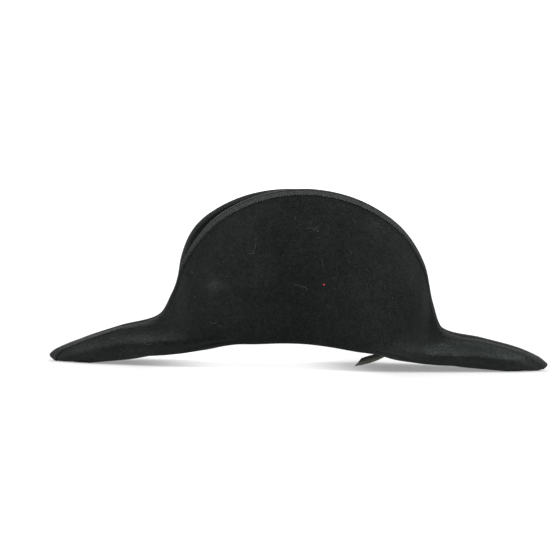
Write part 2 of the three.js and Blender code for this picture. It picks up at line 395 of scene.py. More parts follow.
class Graph:
    """A material's nodes, made one call at a time."""

    def __init__(self, name: str) -> None:
        """Starts an empty material of that name."""
        self.material = bpy.data.materials.new(name)
        self.material.use_nodes = True
        self.tree = self.material.node_tree
        self.tree.nodes.clear()

    def node(self, kind: str, inputs: dict[Any, Any] | None = None, **settings: Any) -> bpy.types.Node:
        """Adds a node.

        Args:
            kind: the node's type, without the words ShaderNode.
            inputs: a value or a socket for each input, by name or place.
            **settings: the node's own settings.

        Returns:
            The node.
        """
        made = self.tree.nodes.new("ShaderNode" + kind)
        for key, value in settings.items():
            setattr(made, key, value)
        for key, value in (inputs or {}).items():
            if isinstance(value, bpy.types.NodeSocket):
                self.tree.links.new(value, made.inputs[key])
            else:
                made.inputs[key].default_value = value
        return made

    def noise(self, where: Socket, scale: float, detail: float = 2, rough: float = 0.5) -> Socket:
        """Cloudy noise, from 0 to 1, with so many features to a metre."""
        inputs = {"Vector": where, "Scale": scale, "Detail": detail, "Roughness": rough}
        return self.node("TexNoise", inputs).outputs[0]

    def spread(self, value: Socket, low: float, high: float, to: Pair = (0, 1)) -> Socket:
        """A value between low and high taken smoothly to a new range."""
        inputs = {"Value": value, "From Min": low, "From Max": high, "To Min": to[0], "To Max": to[1]}
        return self.node("MapRange", inputs, interpolation_type="SMOOTHSTEP").outputs[0]

    def maths(self, operation: str, a: Any, b: Any = 0.5) -> Socket:
        """An operation on one or two numbers."""
        return self.node("Math", {0: a, 1: b}, operation=operation).outputs[0]

    def total(self, first: Any, *others: Any) -> Socket:
        """A sum of numbers."""
        for other in others:
            first = self.maths("ADD", first, other)
        return first

    def product(self, first: Any, *others: Any) -> Socket:
        """A product of numbers."""
        for other in others:
            first = self.maths("MULTIPLY", first, other)
        return first

    def blend(self, share: Any, a: Any, b: Any, how: str = "MIX") -> Socket:
        """A colour between a and b."""
        inputs = {"Factor": share, 6: a, 7: b}
        return self.node("Mix", inputs, data_type="RGBA", blend_type=how).outputs[2]

    def tone(self, name: str) -> Socket:
        """The value that the mesh carries under that name."""
        return self.node("Attribute", attribute_name=name).outputs["Fac"]

    def scaled(self, colour: Socket, by: Socket) -> Socket:
        """A colour times a number."""
        return self.node("VectorMath", {0: colour, "Scale": by}, operation="SCALE").outputs[0]

    def parts(self, vector: Socket) -> tuple[Socket, Socket, Socket]:
        """A vector's three numbers."""
        return tuple(self.node("SeparateXYZ", {0: vector}).outputs)

    def marks(self, flat: Socket, scale: Triple, noise: Triple) -> Socket:
        """Noise that is drawn out along a flat map, as its scale says."""
        stretched = self.node("Mapping", {"Vector": flat, "Scale": scale}).outputs[0]
        return self.noise(stretched, *noise)

    def bumpy(self, height: Socket, strength: float, distance: float) -> Socket:
        """The way out of a surface that is roughened by so much, in metres."""
        return self.node("Bump", {"Height": height, "Strength": strength, "Distance": distance}).outputs[0]

    def surface(self, inputs: dict[str, Any]) -> bpy.types.Material:
        """Ends the material in a principled surface."""
        shader = self.node("BsdfPrincipled", inputs)
        self.node("OutputMaterial", {"Surface": shader.outputs[0]})
        return self.material


def rgba(colour: Triple) -> tuple[float, float, float, float]:
    """A colour with full alpha."""
    return (*colour, 1.0)


@dataclass(frozen=True)
class FeltFinish:
    """Black wool felt: short matted nap, faint mottling and a dusting of pale specks.

    The mesh carries two tones. dust_and_top_light, from 0 to 1 where the felt faces up, is a dusting
    and painted top light: it makes the felt up to about twice as light and bluer there, with more and
    brighter specks and a stronger sheen grain. fade is painted light and painted shade in soft patches,
    lighter or darker than the rest, and it scales the sheen too. The noises are features to a metre,
    detail and roughness. Each row of specks is their size in metres, the share of the felt's cells that
    hold one, and their strength in the shade. A speck takes up a quarter of its cell.
    """

    name: str = "wool_felt"
    deep: Triple = (0.0028, 0.003, 0.0029)
    worn: Triple = (0.01, 0.0107, 0.0103)
    cool: Triple = (0.0048, 0.0062, 0.0057)
    warm: Triple = (0.0068, 0.0056, 0.0064)
    # Painted top light, with a dusting: bluish, up to about twice as light where the felt faces up.
    top_lit_and_dusty_tint: Triple = (1.72, 1.88, 1.94)
    # The pale specks' colour: a dusting, and painted glints on the top-lit felt.
    dust_and_top_light: Triple = (0.105, 0.11, 0.106)
    cloud: Triple = (26, 4, 0.6)
    cloud_tones: Ramp = (0.32, 0.68, (0, 0.4))
    mottle: Triple = (190, 4, 0.62)
    mottle_tones: Ramp = (0.3, 0.7, (0, 0.4))
    grain: Triple = (560, 2, 0.6)
    grain_tones: Ramp = (0.34, 0.66, (-0.22, 0.27))
    nap: Triple = (1250, 2, 0.7)
    nap_tones: Ramp = (0.34, 0.66, (-0.4, 0.5))
    hue: Triple = (300, 3, 0.65)
    cool_share: Ramp = (0.52, 0.68, (0, 0.6))
    warm_share: Ramp = (0.48, 0.32, (0, 0.5))
    specks: tuple[Triple, ...] = ((0.00025, 0.05, 0.55), (0.0004, 0.016, 0.7), (0.0008, 0.016, 0.22))
    speck_in_cell: float = 0.25
    speck_edge: Pair = (0.25, 0.12)
    cloud_specks: Ramp = (0.35, 0.65, (0.3, 1.4))
    # Specks come thicker where the felt faces up: a dusting, and painted glints.
    dust_and_glint_specks: Ramp = (0.1, 0.8, (0, 7))
    shaded_specks: float = 0.65
    lit_specks: float = 0.55
    lit_from: Pair = (0.05, 0.6)
    sheen_grain: Triple = (1000, 1, 0.5)
    sheen_grain_tones: Ramp = (0.34, 0.66, (-1, 1))
    # The sheen grain grows on the top-lit felt: painted glints.
    sheen_grain_on_lit_tops: Ramp = (0, 0.5, (0.5, 2.4))
    sheen: float = 0.03
    sheen_roughness: float = 0.55
    sheen_tint: Triple = (0.78, 0.94, 0.9)
    roughness: float = 0.93
    gloss: float = 0.05
    mottle_height: float = 1.6
    bump: Pair = (0.6, 0.0006)

    def material(self) -> bpy.types.Material:
        """Makes the felt's material."""
        g = Graph(self.name)
        where = g.node("TexCoord").outputs["Object"]
        # Painted top light and a dusting, where the felt faces up.
        lit = g.tone("dust_and_top_light")
        fade = g.total(g.tone("fade"), 1.0)
        noises = (self.cloud, self.mottle, self.grain, self.nap, self.hue)
        cloud, mottle, grain, nap, hue = (g.noise(where, *noise) for noise in noises)
        tone = g.total(
            g.spread(cloud, *self.cloud_tones), g.spread(mottle, *self.mottle_tones),
            g.spread(grain, *self.grain_tones), g.spread(nap, *self.nap_tones),
        )  # fmt: skip
        colour = g.blend(tone, rgba(self.deep), rgba(self.worn))
        colour = g.blend(g.spread(hue, *self.cool_share), colour, rgba(self.cool))
        colour = g.blend(g.spread(hue, *self.warm_share), colour, rgba(self.warm))
        # Painted light and painted shade in soft patches.
        colour = g.scaled(colour, fade)
        # Painted top light: lighter and bluer where the felt faces up, with a dusting.
        colour = g.blend(1.0, colour, g.blend(lit, rgba(WHITE), rgba(self.top_lit_and_dusty_tint)), "MULTIPLY")
        # More and brighter specks on the top-lit felt: a dusting, and painted glints.
        drift = g.total(g.spread(cloud, *self.cloud_specks), g.spread(lit, *self.dust_and_glint_specks))
        for size, share, strength in self.specks:
            cells = g.node("TexVoronoi", {"Vector": where, "Scale": self.speck_in_cell / size})
            near = g.spread(cells.outputs["Distance"], *self.speck_edge)
            lot = g.node("SeparateColor", {0: cells.outputs["Color"]}).outputs[0]
            drawn = g.maths("GREATER_THAN", lot, g.maths("SUBTRACT", 1.0, g.product(drift, share)))
            strong = g.spread(lit, *self.lit_from, (strength * self.shaded_specks, self.lit_specks))
            colour = g.blend(g.product(near, g.product(drawn, strong)), colour, rgba(self.dust_and_top_light))
        # Sheen grain, stronger on the top-lit felt as painted glints; the painted light and shade patches
        # scale the sheen too.
        sheen_grain = g.spread(g.noise(where, *self.sheen_grain), *self.sheen_grain_tones)
        sheen_grain = g.product(sheen_grain, g.spread(lit, *self.sheen_grain_on_lit_tops))
        fuzz = g.product(fade, g.total(sheen_grain, 1.0), self.sheen)
        height = g.total(nap, grain, g.product(mottle, self.mottle_height))
        return g.surface({
            "Base Color": colour, "Roughness": self.roughness, "Normal": g.bumpy(height, *self.bump),
            "Specular IOR Level": self.gloss, "Sheen Weight": fuzz,
            "Sheen Roughness": self.sheen_roughness, "Sheen Tint": rgba(self.sheen_tint),
        })  # fmt: skip


@dataclass(frozen=True)
class RibbonFinish:
    """Ribbed ribbon: cords across its width, with the warp's fine lines along it and worn patches.

    Each cord is painted lighter on its crest and darker in the groove beside it, as painted light and
    shade; painted glints of a row of stitching dash along one hem, and the ribbon can be painted lighter
    or darker across its width as light and shade. Marks and speckle are a noise's scale, detail and
    roughness: on the ribbon's drawn-out map for marks, and to a metre for the speckle.
    """

    name: str
    dark: Triple
    light: Triple
    length: float
    ribs: int
    # Painted light on each cord's crest and painted shade in the groove between cords.
    rib_light_and_groove_shade: Ramp = (0, 1, (0.15, 1.2))
    patch_length: float = 0.006
    patches_across: float = 5
    patch_marks: Triple = (1, 3, 0.6)
    patch_tones: Ramp = (0.3, 0.7, (0.75, 1))
    warp_length: float = 0.004
    warp_across: float = 90
    warp_marks: Triple = (1, 2, 0.5)
    warp_tones: Ramp = (0.3, 0.7, (0.7, 1.05))
    speckle: Triple = (1000, 2, 0.7)
    speckle_tones: Ramp = (0.34, 0.66, (0.05, 1.7))
    # Painted light and shade across the ribbon's width.
    light_and_shade_across: Ramp = (-1, 1, (1, 1))
    # Painted glints of stitching along one hem: bright dashes with darker gaps.
    hem_line: Pair = (0.09, 0.05)
    stitch_glints: Ramp = (-0.2, 0.9, (-0.35, 0.9))
    tint_scale: float = 120
    tint_edge: Pair = (0.4, 0.6)
    tints: tuple[Triple, Triple] = ((1.02, 1, 1.03), (0.96, 1.03, 0.99))
    sheen: float = 0.12
    sheen_roughness: float = 0.4
    sheen_tint: Triple = (0.85, 0.92, 0.95)
    gloss: float = 0.15
    roughness: float = 0.6
    fibre_scale: float = 2600
    warp_height: float = 0.5
    bump: Pair = (0.4, 0.0002)

    def material(self) -> bpy.types.Material:
        """Makes the ribbon's material, which follows its UV map."""
        g = Graph(self.name)
        flat, solid = (g.node("TexCoord").outputs[name] for name in ("UV", "Object"))
        along, across = g.parts(flat)[:2]
        # Painted light on the crests, painted shade in the grooves.
        cord = g.spread(g.maths("COSINE", g.product(along, 2 * np.pi * self.ribs)), -1, 1)
        patch = g.marks(flat, (self.length / self.patch_length, self.patches_across, 1), self.patch_marks)
        warp = g.marks(flat, (self.length / self.warp_length, self.warp_across, 1), self.warp_marks)
        tone = g.product(
            g.spread(cord, *self.rib_light_and_groove_shade), g.spread(patch, *self.patch_tones),
            g.spread(warp, *self.warp_tones), g.spread(g.noise(solid, *self.speckle), *self.speckle_tones),
        )  # fmt: skip
        colour = g.blend(tone, rgba(self.dark), rgba(self.light))
        # Painted light and shade across the width, by where a point lies round the section.
        around = g.maths("COSINE", g.product(across, 2 * np.pi))
        colour = g.scaled(colour, g.spread(around, *self.light_and_shade_across))
        # Painted glints along the hem, with darker gaps between them.
        stitch = g.maths("COSINE", g.product(along, np.pi * self.ribs))
        hem = g.product(g.spread(across, *self.hem_line), g.spread(stitch, *self.stitch_glints))
        colour = g.scaled(colour, g.total(hem, 1.0))
        tinted = g.spread(g.noise(solid, self.tint_scale), *self.tint_edge)
        colour = g.blend(1.0, colour, g.blend(tinted, *(rgba(tint) for tint in self.tints)), "MULTIPLY")
        height = g.total(g.product(warp, self.warp_height), g.noise(solid, self.fibre_scale))
        return g.surface({
            "Base Color": colour, "Roughness": self.roughness, "Normal": g.bumpy(height, *self.bump),
            "Specular IOR Level": self.gloss, "Sheen Weight": self.sheen,
            "Sheen Roughness": self.sheen_roughness, "Sheen Tint": rgba(self.sheen_tint),
        })  # fmt: skip


@dataclass(frozen=True)
class LintFinish:
    """One dull colour for lint."""

    name: str
    colour: Triple
    roughness: float = 0.8

    def material(self) -> bpy.types.Material:
        """Makes the lint's material."""
        return Graph(self.name).surface({"Base Color": rgba(self.colour), "Roughness": self.roughness})


def dress(piece: bpy.types.Object, material: bpy.types.Material) -> None:
    """Gives a piece its material."""
    piece.data.materials.clear()
    piece.data.materials.append(material)


@dataclass(frozen=True)
class LightAndShadePatch:
    """A soft-edged patch of painted light or shade: the felt lighter or darker by a share, front (-1) or back
    (1), in mm.
    """

    x: float
    z: float
    wide: float
    high: float
    share: float
    side: int = -1


# Painted light and painted shade: each patch makes the felt lighter or darker where its shading differs, on
# the wings' shelves and undersides, the necks and both flaps.
LIGHT_AND_SHADE_PATCHES = (
    LightAndShadePatch(-10, 34, 52, 32, -0.26),
    LightAndShadePatch(-8, 140, 62, 18, -0.28),
    LightAndShadePatch(150, 8, 60, 8, 0.55),
    LightAndShadePatch(82, 18, 24, 9, 1.05),
    LightAndShadePatch(160, 2, 60, 4, 0.6),
    LightAndShadePatch(-52, 18, 28, 7, -0.4),
    LightAndShadePatch(-78, 20, 18, 5, -0.35),
    LightAndShadePatch(-190, 22, 22, 9, -0.36),
    LightAndShadePatch(-138, 18, 20, 7, 0.22),
    LightAndShadePatch(-122, 42, 10, 10, 0.4),
    LightAndShadePatch(102, 24, 13, 6, -0.35),
    LightAndShadePatch(152, 19, 32, 5, -0.5),
    LightAndShadePatch(62, 20, 12, 5, 0.3),
    LightAndShadePatch(-114, 68, 9, 34, 0.22),
    LightAndShadePatch(100, 62, 12, 34, -0.14),
    LightAndShadePatch(-140, 5, 80, 11, 1.05),
    LightAndShadePatch(-160, 30, 54, 8, -0.42),
    LightAndShadePatch(-78, 84, 26, 24, 0.34),
    LightAndShadePatch(-84.5, 73.5, 6.5, 5.5, 1.1),
    LightAndShadePatch(52, 50, 24, 20, 0.36),
    LightAndShadePatch(72, 88, 26, 24, 0.22),
    LightAndShadePatch(110, 40, 18, 18, -0.36),
    LightAndShadePatch(-57, 97, 14, 12, 0.12),
    LightAndShadePatch(-30, 62, 50, 9, -0.1),
    LightAndShadePatch(-100, 30, 16, 10, -0.08),
    LightAndShadePatch(12, 38, 50, 28, -0.2, 1),
    LightAndShadePatch(74, 88, 28, 20, 0.18, 1),
    LightAndShadePatch(-70, 70, 24, 24, 0.14, 1),
    LightAndShadePatch(20, 122, 22, 12, 0.12, 1),
    LightAndShadePatch(-72, 118, 30, 26, 0.3, 1),
)


@dataclass
class FeltBody:
    """The felt: crown, break, brim and turned-up flaps in one blocked sheet."""

    sheet: BlockedSheet
    columns: int = 360
    top_angles: tuple[float, ...] = (89.5, 88.5, 87, 85.5)
    line_rows: int = 46
    flap_rows: int = 26
    edge_inset: float = 0.5
    measuring_points: int = 60
    patches: tuple[LightAndShadePatch, ...] = LIGHT_AND_SHADE_PATCHES
    # Painted top light and a dusting: from how much the felt faces up, and how strong along x, most on the
    # right wing.
    dust_and_top_light_from: float = 0.3
    dust_and_top_light_within: float = 0.6
    dust_and_top_light_along: tuple[Triple, Triple] = ((-160, -110, 100), (0.22, 0.4, 0.8))
    finish: FeltFinish = FeltFinish()

    def points(self) -> Array:
        """The lower face's points in metres, from the crown's pole to just short of the cut edge."""
        turns = np.arange(self.columns) / self.columns
        down = np.linspace(0, self.sheet.full_at, self.line_rows, endpoint=False)
        line = np.broadcast_to(down, (self.columns, self.line_rows))
        full = self.full_lengths(turns)
        shares = np.linspace(1, 0, self.flap_rows)
        flap = self.sheet.places_from_edge(turns, self.edge_inset + (full - self.edge_inset) * shares)
        return self.sheet.at_places(turns, np.concatenate([line, flap], axis=1))

    def full_lengths(self, turns: Array) -> Array:
        """How many mm each line is long from the fullest line to the cut edge, shaped (turns, 1)."""
        down = np.linspace(self.sheet.full_at, 1, self.measuring_points)
        places = np.broadcast_to(down, (len(turns), self.measuring_points))
        line = smooth_line(self.sheet.controls(turns), places, closed=False)
        return np.linalg.norm(np.diff(line, axis=1), axis=-1).sum(axis=1, keepdims=True)

    def top_rings(self) -> Array:
        """The rings over the crown's top, from its pole out, in metres."""
        turns = np.arange(self.columns) / self.columns
        first = self.sheet.controls(turns)[:, 0]
        pole = np.array([0, 0, self.sheet.crown_top])
        degrees = self.sheet.crown_angles[0]
        power = 2 / self.sheet.crown_fullness
        rings = [np.broadcast_to(pole, first.shape)]
        for angle in self.top_angles:
            spread = (np.cos(np.radians(angle)) / np.cos(np.radians(degrees))) ** power
            low = (1 - np.sin(np.radians(angle)) ** power) / (1 - np.sin(np.radians(degrees)) ** power)
            rings.append(pole + (first - pole) * (spread, spread, low))
        return self.sheet.settled(np.stack(rings, axis=1)) * MM

    def dust_and_top_light(self, points: Array) -> Array:
        """Dusting and painted top light at each point, from 0 to 1: more where it faces up and towards the
        right wing.
        """
        up = self.sheet.normals(points)[..., 2]
        crown_rows = len(self.top_angles) + 1 + int(self.line_rows * self.sheet.rim_at / self.sheet.full_at)
        up[:, :crown_rows] *= -1
        facing_up = ease((up - self.dust_and_top_light_from) / self.dust_and_top_light_within)
        return facing_up * np.interp(points[..., 0] / MM, *self.dust_and_top_light_along)

    def fade(self, points: Array) -> Array:
        """How much painted light or shade each point gets, as a share: lighter or darker than the rest."""
        x, y, z = (points[..., i] / MM for i in range(3))
        total = np.zeros_like(x)
        for patch in self.patches:
            away = ((x - patch.x) / patch.wide) ** 2 + ((z - patch.z) / patch.high) ** 2
            total += patch.share * np.exp(-away) * (y * patch.side > 0)
        return total

    def build(self) -> bpy.types.Object:
        """Lays the felt, gives it its thickness and its finish."""
        points = np.concatenate([self.top_rings(), self.points()], axis=1)
        tones = {"dust_and_top_light": self.dust_and_top_light(points), "fade": self.fade(points)}
        felt = LaidGrid("felt", points, tones=tones).build()
        wall = felt.modifiers.new("thickness", "SOLIDIFY")
        wall.thickness = self.sheet.felt * MM
        wall.offset = -1
        wall.use_quality_normals = True
        dress(felt, self.finish.material())
        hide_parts("felt_body")
        return felt


@dataclass(frozen=True)
class HemPlace:
    """The binding's outer leaf at a turn round the hat: its width, and how proud of the felt it is, in mm."""

    turn: float
    width: float
    proud: float


# The ribbon is turned over unevenly: most of it lies inside along the right wing and at the necks.
OUTER_HEM = (
    HemPlace(0, 5, 0.8),
    HemPlace(0.02, 3.6, 0.6),
    HemPlace(0.05, 2.6, 0.5),
    HemPlace(0.083, 2.2, 0.45),
    HemPlace(0.139, 2.2, 0.45),
    HemPlace(0.162, 3, 0.7),
    HemPlace(0.188, 4.6, 1),
    HemPlace(0.215, 6.5, 1.2),
    HemPlace(0.292, 6.3, 1.2),
    HemPlace(0.315, 4.4, 1),
    HemPlace(0.337, 2.6, 0.7),
    HemPlace(0.4, 2.4, 0.5),
    HemPlace(0.428, 4.9, 0.7),
    HemPlace(0.45, 4.4, 0.7),
    HemPlace(0.475, 5.2, 0.8),
    HemPlace(0.495, 8.6, 0.9),
    HemPlace(0.52, 7.4, 1),
    HemPlace(0.56, 6.5, 1.2),
    HemPlace(0.95, 6.5, 1.2),
    HemPlace(1, 5, 0.8),
)


@dataclass
class RoundRibbon:
    """A ribbed ribbon that lies on the felt all the way round, with whole ribs fitted to its length."""

    sheet: BlockedSheet
    rib_pitch: float = 1.2
    steps: int = 4000
    ribs: int = field(init=False)
    length: float = field(init=False)

    def __post_init__(self) -> None:
        """Measures the line that the ribbon lies along and fits the ribs to it."""
        self._turns = np.linspace(0, 1, self.steps + 1)
        line = self.sheet.at_places(self._turns, np.full((self.steps + 1, 1), self.place()))
        self._run = run_of(line[:, 0])
        self.length = float(self._run[-1])
        self.ribs = round(self.length / (self.rib_pitch * MM))

    def place(self) -> float:
        """Where on the sheet's lines the ribbon's length is measured: at the cut edge."""
        return 1.0

    def columns(self) -> tuple[Array, Array]:
        """How far along each half rib is in metres, and its turn round the hat."""
        along = np.arange(2 * self.ribs) / (2 * self.ribs) * self.length
        return along, np.interp(along, self._run, self._turns)


@dataclass
class EdgeBinding(RoundRibbon):
    """The ribbed ribbon folded over the brim's cut edge, all the way round.

    On each side of the felt the ribbon has a leaf, which stands proud, and an inner face behind it, close to
    the felt. Insets are mm from the cut edge, and the leaf's heights are shares of how proud it stands.
    """

    leaf_insets: tuple[float, ...] = (6.5, 6.3, 5.9, 5, 4, 3, 2.1, 1.2)
    leaf_heights: tuple[float, ...] = (0.55, 0.8, 0.95, 1, 1, 1, 1, 1)
    inner_insets: tuple[float, ...] = (1.3, 3.2, 5.2, 6.35)
    hem_from: float = 4.2
    hem_within: float = 2.3
    outer: tuple[HemPlace, ...] = OUTER_HEM
    lift: float = 0.2
    proud: float = 1.2
    rib_height: float = 0.09
    rib_share: float = 0.8
    hem_rib_share: float = 0.5
    picot: float = 0.12
    pucker: float = 0.22
    fold_points: int = 7
    inner_fold_points: int = 5
    flat_width: float = 0.017

    def near_hem(self, insets: Array) -> Array:
        """How near each inset is to the ribbon's hem, from 0 to 1."""
        return np.clip((insets - self.hem_from) / self.hem_within, 0, 1)

    def puckers(self, along: Array) -> Array:
        """How many mm the hem wanders at so many mm along the ribbon."""
        fine, broad = np.sin(along / 1.13 + 2 * np.sin(along / 7.9)), np.sin(along / 3.1)
        return self.pucker * (fine * 0.6 + broad * 0.4)

    def on_felt(self, turns: Array, insets: Array) -> tuple[Array, Array]:
        """Finds the lower face's points at so many mm short of the cut edge.

        Args:
            turns: the turns round the hat.
            insets: the distances from the edge in mm, in any order, shaped (turns, points).

        Returns:
            The points in metres and the face's outward directions, each shaped (turns, points, 3).
        """
        order = np.argsort(-insets, axis=1)
        places = self.sheet.places_from_edge(turns, np.take_along_axis(insets, order, axis=1))
        grid = self.sheet.at_places(turns, places)
        back = np.argsort(order, axis=1)[..., None]
        return tuple(np.take_along_axis(rows, back, axis=1) for rows in (grid, self.sheet.normals(grid)))

    def points(self) -> Array:
        """The ribbon's points, a closed loop round its section at each half rib, in metres."""
        along, turns = self.columns()
        ridge = ridges(len(turns))[:, None]
        pucker = self.puckers(along / MM)[:, None]
        leaf, inner = np.array(self.leaf_insets), np.array(self.inner_insets)
        at = [place.turn for place in self.outer]
        widths = np.interp(turns, at, [place.width / leaf[0] for place in self.outer])[:, None]
        prouds = np.interp(turns, at, [place.proud for place in self.outer])[:, None]
        leaves = (leaf + (pucker + ridge * self.picot) * self.near_hem(leaf)) * widths
        inners = inner + pucker * self.near_hem(inner)
        grid, normal = self.on_felt(turns, np.concatenate([leaves, inners, np.zeros_like(ridge)], axis=1))
        out, within, edge = slice(len(leaf)), slice(len(leaf), -1), grid[:, -1]
        heights = np.array(self.leaf_heights)
        ribbing = ridge * self.rib_height * (self.rib_share + self.hem_rib_share * self.near_hem(leaf))
        low, high = prouds * heights + ribbing, self.proud * heights + ribbing
        felt = self.sheet.felt
        lower = grid[:, out] + normal[:, out] * low[..., None] * MM
        upper = grid[:, out] - normal[:, out] * (felt + high[..., None]) * MM
        inner_lower = grid[:, within] + normal[:, within] * self.lift * MM
        inner_upper = grid[:, within] - normal[:, within] * (felt + self.lift) * MM
        past = unit(edge - grid[:, len(leaf) - 1])
        side = normal[:, len(leaf) - 1]
        centre = edge - side * felt / 2 * MM - past * felt / 2 * MM
        radius = felt / 2 + self.proud + ridge * self.rib_height
        fold = self.fold(centre, side, past, radius, self.fold_points, self.proud - prouds)
        inner_fold = self.fold(centre, side, past, felt / 2 + self.lift, self.inner_fold_points, 0)
        round_section = (lower, fold, upper[:, ::-1], inner_upper[:, ::-1], inner_fold[:, ::-1], inner_lower)
        return np.concatenate(round_section, axis=1)

    def fold(
        self, centre: Array, side: Array, past: Array, radius: Array | float, steps: int, less: Array | float
    ) -> Array:
        """The round fold over the edge, from the lower face's side to the upper one's.

        Args:
            centre: the fold's middle at each column, in metres.
            side: the way out of the felt's lower face.
            past: the way out past the cut edge.
            radius: the fold's radius in mm.
            steps: the number of points across the fold.
            less: how many mm less far the fold goes on the lower face's side.

        Returns:
            The points in metres, shaped (columns, steps, 3).
        """
        angles = np.linspace(0, np.pi, steps)
        over, out = np.cos(angles), np.sin(angles)
        sideways = (over * radius - np.clip(over, 0, 1) * less)[..., None]
        return centre[:, None] + (side[:, None] * sideways + past[:, None] * (out * radius)[..., None]) * MM

    def build(self) -> bpy.types.Object:
        """Folds the ribbon over the edge and gives it its finish."""
        ribbon = LaidGrid("binding", self.points(), close_rows=True).build()
        dark, light = (0.008, 0.0084, 0.0085), (0.037, 0.0388, 0.0392)
        # The leaf on the felt's upper face, inside the flaps, is painted darker as shade.
        finish = RibbonFinish(
            "bound_grosgrain", dark, light, self.length, self.ribs,
            sheen=0.0, gloss=0.08, light_and_shade_across=(-0.75, 0, (0.68, 1)),
        )  # fmt: skip
        dress(ribbon, finish.material())
        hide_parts("edge_binding")
        return ribbon


@dataclass
class HeadRibbon(RoundRibbon):
    """The ribbed ribbon that lines the head opening."""

    steps: int = 2000
    top_angle: float = 12
    lift: float = 0.3
    thick: float = 0.8
    rib_height: float = 0.08
    rows: int = 9
    rows_to_outer: int = 4
    flat_width: float = 0.027

    def place(self) -> float:
        """Where on the sheet's lines the ribbon's length is measured: at the crown's lower rim."""
        return self.sheet.rim_at

    def points(self) -> Array:
        """The ribbon's points, a closed loop round its section at each half rib, in metres."""
        turns = self.columns()[1]
        ridge = ridges(len(turns))[:, None, None]
        top = self.sheet.crown_angles.index(self.top_angle) / self.sheet.spans
        places = np.broadcast_to(np.linspace(top, self.sheet.rim_at, self.rows), (len(turns), self.rows))
        grid = self.sheet.at_places(turns, places)
        normal = self.sheet.normals(grid)
        inner = grid + normal * (self.lift + self.thick + ridge * self.rib_height) * MM
        outer = (grid + normal * self.lift * MM)[:, :: self.rows_to_outer]
        return np.concatenate([inner, outer[:, ::-1]], axis=1)

    def build(self) -> bpy.types.Object:
        """Lays the ribbon inside the crown and gives it its finish."""
        ribbon = LaidGrid("head_band", self.points(), close_rows=True).build()
        dark, light = (0.006, 0.0063, 0.0068), (0.018, 0.019, 0.021)
        finish = RibbonFinish("head_grosgrain", dark, light, self.length, self.ribs)
        dress(ribbon, finish.material())
        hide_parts("head_ribbon")
        return ribbon


@dataclass(frozen=True)
class TailSection:
    """The loose ribbon end's two edges at one section, in mm."""

    low: Triple
    high: Triple


# From the seam inside the crown down to the floor. The last section is the slanting cut.
TAIL_SECTIONS = (
    TailSection((82.2, -33.5, 36), (78.7, -41.5, 40)),
    TailSection((83.2, -31.5, 27), (82.2, -38.5, 34)),
    TailSection((78.4, -26, 15.4), (81.9, -32.5, 22.5)),
    TailSection((68.5, -18.5, 7.8), (71.5, -24.5, 15.2)),
    TailSection((58.5, -11, 3.6), (59.5, -16.5, 11)),
    TailSection((48.5, -6, 0.9), (54, -11.5, 8.6)),
)


@dataclass
class RibbonTail:
    """The head ribbon's loose end, which hangs out under the brim and touches down on its cut corner."""

    width: float = 8.8
    thick: float = 0.6
    rib_pitch: float = 1.1
    rib_height: float = 0.07
    rows: int = 9
    curl: float = 0.5
    curl_level: float = 0.6
    steps: int = 200
    flat_width: float = 0.01

    def points(self) -> tuple[Array, float]:
        """The strip's points, a closed loop round its section at each half rib, and its length, in metres."""
        low, high = (np.array([[getattr(s, n) for s in TAIL_SECTIONS]], float) for n in ("low", "high"))
        at = np.linspace(0, 1, self.steps + 1)[None]
        run = run_of((smooth_line(low, at, False) + smooth_line(high, at, False))[0] / 2)
        columns = 2 * round(run[-1] / self.rib_pitch) + 1
        even = np.interp(np.linspace(0, run[-1], columns), run, at[0])[None]
        a, b = smooth_line(low, even, False)[0], smooth_line(high, even, False)[0]
        across = np.linspace(0, 1, self.rows)[:, None]
        grid = a[:, None] + (b - a)[:, None] * across
        facing = unit(np.cross(np.gradient((a + b) / 2, axis=0), b - a))[:, None]
        ridge = ridges(columns)[:, None, None] * self.rib_height
        curl = self.curl * (np.sin(np.pi * across) - self.curl_level)
        front = grid + facing * (self.thick / 2 + ridge + curl)
        behind = grid - facing * (self.thick / 2 - curl)
        return np.concatenate([front, behind[:, ::-1]], axis=1) * MM, run[-1] * MM

    def build(self) -> bpy.types.Object:
        """Hangs the loose end and gives it its finish."""
        points, length = self.points()
        ends = np.stack([np.broadcast_to(points[i].mean(axis=0), points[i].shape) for i in (0, -1)])
        points = np.concatenate([ends[:1], points, ends[1:]])
        tail = LaidGrid("loose_ribbon_end", points, close_columns=False, close_rows=True).build()
        dark, light = (0.03, 0.03, 0.026), (0.085, 0.086, 0.072)
        ribs = round(length / MM / self.rib_pitch)
        # Painted light along the lower edge and painted shade along the upper one.
        finish = RibbonFinish("worn_ribbon", dark, light, length, ribs, light_and_shade_across=(-1, 1, (0.4, 2.4)))
        dress(tail, finish.material())
        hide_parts("ribbon_tail")
        return tail


@dataclass(frozen=True)
class Strand:
    """A hair or a speck that clings to the front flap: the places in x and z that it passes, in mm."""

    through: tuple[tuple[float, float], ...]
    thick: float = 0.24
    red: bool = False


